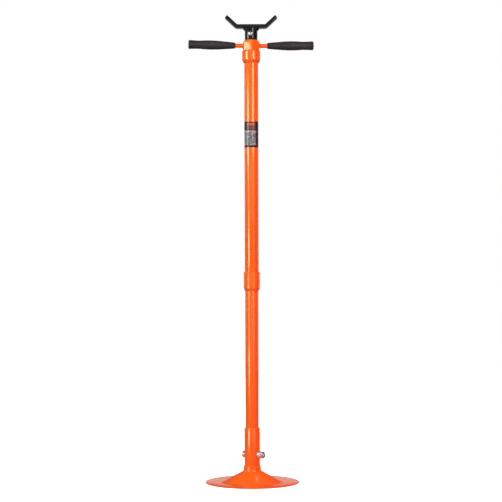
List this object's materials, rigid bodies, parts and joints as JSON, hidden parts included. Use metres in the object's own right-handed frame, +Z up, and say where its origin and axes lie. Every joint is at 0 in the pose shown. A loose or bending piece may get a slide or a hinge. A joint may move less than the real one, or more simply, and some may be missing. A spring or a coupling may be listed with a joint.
{
  "type": "under-hoist pole stand",
  "caption": "Tall screw-adjusted pole stand with a round flared foot, spin handle on a thrust bearing and a bent-plate saddle, for steadying parts under a raised vehicle.",
  "frame": {"origin": "on the floor under the pole's axis, at the middle of the foot's underside", "axes": "+Z up along the pole; the saddle's wings point to +X and -X, the user stands on the -Y side"},
  "size_m": [0.362, 0.271, 1.3463],
  "materials": {
    "orange_paint": "glossy orange powder coat",
    "black_paint": "glossy black enamel",
    "bright_zinc": "bright zinc plate",
    "dark_steel": "black-oxide steel",
    "bronze": "oiled bearing bronze",
    "bearing_steel": "ground bearing steel",
    "cage_brass": "stamped brass",
    "greased_screw": "rolled trapezoidal thread, oiled",
    "label_film": null,
    "grip_rubber": "moulded rubber, satin"
  },
  "bodies": {
    "stand": {"base_plate": "orange_paint", "neck_weld": "orange_paint", "base_socket": "orange_paint", "socket_floor": "dark_steel", "base_bolt": "bright_zinc", "base_washer": "bright_zinc", "base_lock_washer": "bright_zinc", "base_nut": "bright_zinc", "lower_tube": "orange_paint", "coupling_sleeve": "orange_paint", "coupling_set_screw": "dark_steel", "upper_tube": "orange_paint", "label": "label_film", "bearing_cup": "orange_paint", "guide_bush": "bronze", "guide_key": "dark_steel", "lower_race": "bearing_steel"},
    "ball_set": {"bearing_cage": "cage_brass", "bearing_balls": "bearing_steel"},
    "handle": {"upper_race": "bearing_steel", "hub_nut": "orange_paint", "handle_arm_left": "orange_paint", "handle_arm_right": "orange_paint", "arm_welds": "orange_paint", "grip_left": "grip_rubber", "grip_right": "grip_rubber"},
    "lift": {"lift_screw": "greased_screw", "stop_collar": "dark_steel", "stop_pin": "dark_steel"},
    "saddle": {"saddle_sleeve": "black_paint", "saddle_weld": "black_paint", "saddle_plate": "black_paint", "saddle_keeper": "bright_zinc"}
  },
  "joints": [
    {"name": "handle_spin", "type": "hinge", "parent": "stand", "child": "handle", "pos_m": [0, 0, 1.2609], "axis": [0, 0, 1], "range_deg": [0, 46800]},
    {"name": "screw_lift", "type": "slide", "parent": "stand", "child": "lift", "axis": [0, 0, 1], "range_m": [0, 0.65]},
    {"name": "ball_set_spin", "type": "hinge", "parent": "stand", "child": "ball_set", "pos_m": [0, 0, 1.24], "axis": [0, 0, 1], "range_deg": [0, 23400]},
    {"name": "saddle_swivel", "type": "hinge", "parent": "lift", "child": "saddle", "pos_m": [0, 0, 1.295], "axis": [0, 0, 1], "continuous": true}
  ],
  "couplings": [
    {"joint": "screw_lift", "follows": "handle_spin", "m_per_rad": 0.00079577},
    {"joint": "ball_set_spin", "follows": "handle_spin", "ratio": 0.5}
  ]
}
